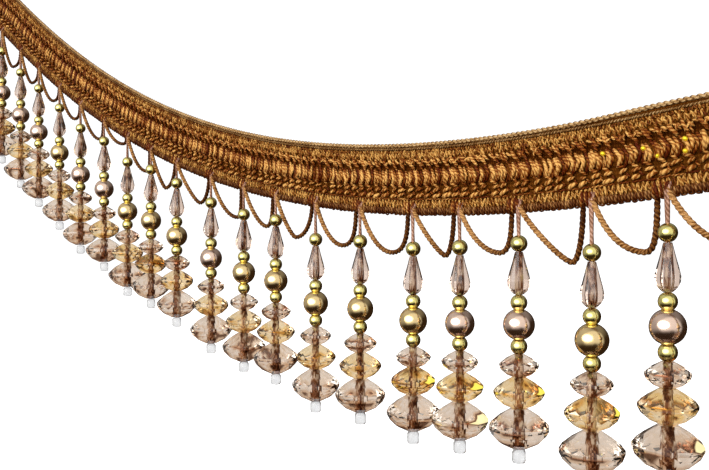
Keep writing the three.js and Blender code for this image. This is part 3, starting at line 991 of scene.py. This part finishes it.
# %% Turned beads
def turned(rows, facets, turn, smooth, paint, tone=0.5):
    """Rings of (radius, height, half turns), each joined to the next, with flat faces at both ends."""
    radius, height, half = np.array(rows, float).T
    angle = turn + 2 * np.pi * (np.arange(facets)[None] + half[:, None] / 2) / facets
    points = np.stack([radius[:, None] * np.cos(angle), radius[:, None] * np.sin(angle),
                       np.broadcast_to(height[:, None], angle.shape)], -1)
    facet = np.arange(facets)
    after = (facet + 1) % facets
    quads, triangles = [], []
    for ring in range(len(rows) - 1):
        high, low = ring * facets, (ring + 1) * facets
        corners = (high + facet, low + facet, low + after, high + after)
        if half[ring] == half[ring + 1]:
            quads.append(np.stack(corners, -1))
        elif half[ring] < half[ring + 1]:
            triangles += [np.stack([corners[i] for i in pick], -1) for pick in ((0, 1, 3), (3, 1, 2))]
        else:
            triangles += [np.stack([corners[i] for i in pick], -1) for pick in ((0, 1, 2), (0, 2, 3))]
    faces = [np.vstack(group) for group in (quads, triangles) if group]
    faces += [facet[None], (len(rows) - 1) * facets + facet[::-1][None]]
    return {"points": points.reshape(-1, 3), "faces": faces, "paint": paint, "smooth": smooth,
            "uv": np.zeros((sum(group.size for group in faces), 2)),
            "tone": np.array(np.broadcast_to(tone, angle.shape)).ravel()}


def round_bead(middle, radius, turn, paint, sides=24, rows=13, hole=0.42):
    """A ball: radius times cosine and sine of the height angle, from its upper hole to its lower."""
    edge = math.acos(min(1, hole / radius))
    angle = np.linspace(edge, -edge, rows)
    profile = [(radius * math.cos(a), middle + radius * math.sin(a), 0) for a in angle]
    return turned(profile, sides, turn, True, paint)


print("a bead of 2 rings and 8 facets has", len(turned([(1, 0, 0), (1, -1, 1)], 8, 0, False, 0)["points"]),
      "points")

# %% Saucers
# the rings of a saucer: share of its radius, share of its half height, deep tint, chance of a painted shade
# patch
SAUCER_ABOVE = ((0.30, 1.00, 0.3, 0.00), (0.65, 0.65, 0.0, 0.03),
                (0.91, 0.30, 0.1, 0.10), (1.00, 0.10, 0.3, 0.16))
SAUCER_BELOW = ((1.00, 0.09, 0.5, 0.20), (0.91, 0.36, 0.5, 0.22),
                (0.65, 0.73, 0.9, 0.30), (0.27, 1.00, 1.2, 0.30))
RIM_PLACE = 0.48                           # share of a saucer's height that lies above its rim
PAINTED_SHADE, GLARING = 2.0, 4.0                 # tones of a corner under painted shade and of a painted glint
# the painted glint faces this way
GLINT_WAY = np.array([0.985, 0.170, 0.0])  # the way that a glaring facet faces
GLINT_REACH = 0.86                         # share of the radius past which it lies


def saucer(top, foot, radius, facets, turn, paint, glint=False):
    """A cut saucer: three bands of facets above a narrow upright rim and three below it. Each ring turns
    by half a facet, but for the rim's lower one. A painted glint lies above the rim, on the glint way's
    side."""
    rim = top - RIM_PLACE * (top - foot)
    above = [(radius * share, rim + (top - rim) * up, i % 2)
             for i, (share, up, _, _) in enumerate(SAUCER_ABOVE)]
    below = [(radius * share, rim - (rim - foot) * down, (i + 1) % 2)
             for i, (share, down, _, _) in enumerate(SAUCER_BELOW)]
    table = np.array(SAUCER_ABOVE + SAUCER_BELOW)
    # painted shade: dark metallic patches on some corners, more often on the lower rings
    painted_shade = chance.random((len(table), facets)) < table[:, 3:]
    bead = turned(above + below, facets, turn, False, paint, np.where(painted_shade, PAINTED_SHADE, table[:, 2:3]))
    # painted glint: corners that face the glint way glare with light of their own
    if glint:
        beside = bead["points"] @ GLINT_WAY > GLINT_REACH * radius
        bead["tone"][beside & (bead["points"][:, 2] > rim)] = GLARING
    return bead


def bead_hole(top, foot, radius, tone, paint):
    """The drilled hole, seen through the glass as a dull tube filled by the threads."""
    rows = [(radius, top - 0.05, 0), (0.92 * radius, (top + foot) / 2, 0), (radius, foot + 0.05, 0)]
    return turned(rows, 10, 0.0, True, paint, tone)


print("a saucer has", len(SAUCER_ABOVE + SAUCER_BELOW), "rings")

# %% [markdown]
# ## The strings of beads
# A drop is nine beads on two threads. The heights are measured down from the middle of the top bead,
# which hangs a different way down for every drop. Each string becomes one mesh with a finish for each
# kind of bead, and it takes the place of that drop's plain solid.

# %% Sizes of the beads
THREAD_DEPTH = 1.0                         # of the drops' threads before the heading's back
THREAD_FOOT = 51.0                         # how far the threads run on below the middle of the top bead
THREADS = {"radius": 0.72, "lay": 60.0}    # two threads, which turn round each other very slowly
SMALL, LARGE, LARGE_HOLE = 2.15, 4.0, 1.2  # radii of the round beads and of the large one's hole
LEMON_HEIGHTS = (0.0, -14.9, -25.9)
LARGE_HEIGHT = -20.4
# radius, height and half turns of the pear's and the seed's rings
PEAR = [(1.0, -2.1, 0), (1.75, -5.0, 0), (2.5, -7.6, 0), (2.95, -9.5, 0), (2.8, -10.8, 0),
        (2.1, -12.0, 0), (1.2, -12.8, 0)]
SEED = [(0.6, -51.7, 0), (1.5, -51.9, 0), (1.75, -52.5, 0), (1.75, -54.7, 0), (1.5, -55.2, 0),
        (0.6, -55.4, 0)]
SAUCER_NAMES = ("top", "foot", "radius", "facets")
SAUCERS = [dict(zip(SAUCER_NAMES, row)) for row in (
    (-27.9, -33.7, 5.0, 11), (-33.75, -41.5, 6.4, 12), (-41.6, -51.5, 7.6, 14),
)]
HOLED = [(PEAR[0][1], PEAR[-1][1])] + [(row["top"], row["foot"]) for row in SAUCERS]
HOLES = ((0.80, 0.55), (0.85, 0.52), (0.90, 0.62), (1.10, 0.50))  # radius and tone
AMBER_GLINTS, PALE_GLINTS = (15, 16, 17, 18), (16, 19)  # drops whose saucer has a glaring facet
FINISHES = {"lemon": 0, "large": 1, "pear": 2, "champagne": 3, "amber": 4, "clear": 5, "thread": 6,
            "core": 7}
print("a string of beads is", round(SMALL - SEED[-1][1], 1), "mm long")

# %% Bead strings
def drop_threads(k):
    """Two threads side by side, from inside the binding down through every bead."""
    place = drop_place(k)
    top = on_trim(np.array([place + 0.5, 2.6, THREAD_DEPTH - 0.2]))
    over = on_trim(np.array([place + 0.2, 1.0, THREAD_DEPTH + 0.5]))
    bead = hanging(place, DROPS[k]["thread"], THREAD_DEPTH)
    path = np.stack([top, over, (over + bead) / 2, bead, bead - (0, 0, THREAD_FOOT)])
    return plies(even_steps(path, 1.0), **THREADS, hand=1, tone=0.5, painted_front_light=0.1, start=np.pi / 2,
                 toward=FRONTWARD, place=None, paint=FINISHES["thread"])


def bead_parts(k):
    """The beads of one drop, top to bottom, each turned by chance, carried to where the drop hangs."""
    spin = chance.uniform(0, 6.3, 9)
    first, second, third = LEMON_HEIGHTS
    small, amber, big = SAUCERS
    parts = [
        round_bead(first, SMALL, spin[0], FINISHES["lemon"]),
        turned(PEAR, 8, spin[1], False, FINISHES["pear"]),
        round_bead(second, SMALL, spin[2], FINISHES["lemon"]),
        round_bead(LARGE_HEIGHT, LARGE, spin[3], FINISHES["large"], 36, 19, LARGE_HOLE),
        round_bead(third, SMALL, spin[4], FINISHES["lemon"]),
        saucer(**small, turn=spin[5], paint=FINISHES["champagne"]),
        saucer(**amber, turn=spin[6], paint=FINISHES["amber"], glint=k in AMBER_GLINTS),
        saucer(**big, turn=spin[7], paint=FINISHES["champagne"], glint=k in PALE_GLINTS),
        *[bead_hole(*span, *hole, FINISHES["core"]) for span, hole in zip(HOLED, HOLES)],
        turned(SEED, 12, spin[8], True, FINISHES["clear"]),
    ]
    middle = hanging(drop_place(k), DROPS[k]["thread"], THREAD_DEPTH)
    for part in parts:
        part["points"] = part["points"] + middle
    return parts + [drop_threads(k)]


for k, drop in enumerate(DROPS):
    large = gold_gilt if drop["ball"] == "gold" else rose_gilt
    finishes = [lemon_gilt, large, pear_glass, champagne_glass, amber_glass, clear_glass, thread_silk,
                bead_core]
    new_piece(f"bead_string_{k + 1:02d}", bead_parts(k), finishes,
                             f"bead_drop_{k + 1:02d}")

# %% [markdown]
# ## The cloth
# The tape is a sheet of cloth, cut to the trim's length and height before it was hung. The yarns,
# cords and bead strings are sewn to it.

# %% [markdown]
# ## A pale studio
# The trim hangs in front of a white ground, and a pale floor lies well below it. The floor is a stage
# piece: only the camera sees it, so that its glow doesn't reach the beads.

# %% Floor
FLOOR_DROP = 0.12     # metres under the lowest bead
FLOOR_SIZE = 6.0


def floor_piece():
    """A square sheet of pale paper with a faint grain."""
    level = plain_box[0][2] - FLOOR_DROP
    side = np.array([-0.5, 0.5]) * FLOOR_SIZE
    x, y = np.meshgrid(side, side)
    points = np.stack([x.ravel(), y.ravel(), np.full(4, level)], -1)
    mesh = bpy.data.meshes.new("studio_floor")
    mesh.from_pydata(points.tolist(), [], [(0, 1, 3, 2)])
    finish = Finish("pale_paper", Specular_IOR_Level=0.0, Emission_Strength=0.9)
    grain = finish.noise(finish.place(), 60.0, 3.0)
    finish.put("Base Color", finish.blend(grain, (0.93, 0.93, 0.93, 1), (0.96, 0.96, 0.96, 1)))
    finish.put("Emission Color", finish.blend(grain, (0.97, 0.97, 0.97, 1), (1, 1, 1, 1)))
    finish.put("Roughness", 0.85 + 0.1 * grain)
    mesh.materials.append(finish.material)
    floor = bpy.data.objects.new("studio_floor", mesh)
    bpy.context.collection.objects.link(floor)
    return floor


floor = floor_piece()
floor.visible_glossy = floor.visible_diffuse = floor.visible_transmission = False
print("the floor lies at", round(plain_box[0][2] - FLOOR_DROP, 3), "m")

# %% [markdown]
# ## Two lamps
# A large lamp from the left rakes over the yarns and models them. A weak one from the right opens the
# shadows, and mirrors don't show it, because the photograph has one highlight on each gilt bead.

# %% Lamps
MIDDLE = (0.0, 0.0, -0.06)  # metres


def lamp(name, place, size, watts, colour=(1, 1, 1)):
    """A soft lamp as wide and high as its size in metres, which looks from its place at the trim."""
    light = bpy.data.lights.new(name, "AREA")
    light.shape, light.energy, light.color = "ELLIPSE", watts, colour
    light.size, light.size_y = size
    holder = bpy.data.objects.new(name, light)
    holder.location = place
    way = Vector(MIDDLE) - Vector(place)
    holder.rotation_euler = way.to_track_quat("-Z", "Y").to_euler()
    bpy.context.collection.objects.link(holder)
    return holder


def around(turn, height, distance):
    """A place round the middle: so many degrees left of the camera's side of it, and so many up."""
    angle, height = math.radians(CAMERA_TURN - 90 - turn), math.radians(height)
    return (MIDDLE[0] + distance * math.cos(height) * math.cos(angle),
            MIDDLE[1] + distance * math.cos(height) * math.sin(angle),
            MIDDLE[2] + distance * math.sin(height))


key_lamp = lamp("key", around(41, 17, 1.0), (1.5, 0.9), 9.4, (1.0, 0.98, 0.94))
side_lamp = lamp("side", around(-50, 18, 1.0), (0.8, 0.8), 1.6)
side_lamp.visible_glossy = False
print("lamps:", key_lamp.name, key_lamp.data.energy, "W and", side_lamp.name, side_lamp.data.energy, "W")

# %% [markdown]
# ## A room made of directions
# Gilt and glass show what is around them, so the room has light sides and dark ones: white behind the
# trim, soft in front, to the left and above, and a warm dark elsewhere, with a dark shape in front for
# whoever holds the camera. The world's light can be any function of the direction looked in, so no walls
# are built. Mirrors don't get the white behind the trim, which keeps the rims of the gilt beads dark.

# %% Room
ROOM = {"backdrop": 0.90, "front": 0.95, "left": 0.42, "over": 0.22, "seen": 1.15}
DARK, WHITE = (0.035, 0.020, 0.011, 1), (1, 1, 1, 1)
FRONT_WAY = (0.70, -0.71, 0.0)    # from the trim toward the camera
SHADE_WAY = (0.68, -0.52, -0.48)  # the dark shape of whoever holds the camera
LEFT_WAY = (-0.71, -0.70, 0.1)    # to the camera's left


def studio_room():
    """The sum of soft patches, each 0 to 1 by the direction's part along its own way, and then a blend
    from the dark colour to white by that sum."""
    world = bpy.data.worlds.new("studio")
    world.use_nodes = True
    bpy.context.scene.world = world
    room = Nodes(world.node_tree)
    way = room.add("ShaderNodeTexCoord", {}, {}, "Generated")

    def toward(where, start, end):
        """0 to 1 as the way looked in comes nearer to where."""
        near = room.add("ShaderNodeVectorMath", {"operation": "DOT_PRODUCT"}, {0: way, 1: where}, "Value")
        return room.between(near, start, end, "SMOOTHSTEP")

    def ray(kind):
        return room.add("ShaderNodeLightPath", {}, {}, f"Is {kind} Ray")

    mirror = ray("Glossy") * ray("Reflection")
    left = toward(LEFT_WAY, -0.2, 0.8)
    behind = toward([-x for x in FRONT_WAY], 0.38, 0.60) * ROOM["backdrop"] * (1 - mirror)
    front = toward(FRONT_WAY, 0.20, 0.60) * (1 - 0.8 * toward(SHADE_WAY, 0.93, 0.985))
    low = toward((0, 0, 1), -0.60, -0.04)
    over = toward((0, 0, 1), 0.1, 0.8)
    seen = ray("Camera")
    bright = behind + low * (ROOM["front"] * front + ROOM["left"] * left) + ROOM["over"] * over + seen
    shader = room.tree.nodes["Background"]
    room.feed(shader.inputs["Color"], room.blend(bright, DARK, WHITE))
    room.feed(shader.inputs["Strength"], 1 + (ROOM["seen"] - 1) * seen)


studio_room()
bpy.context.scene.view_settings.view_transform = "Standard"
print("the room's light:", ROOM)
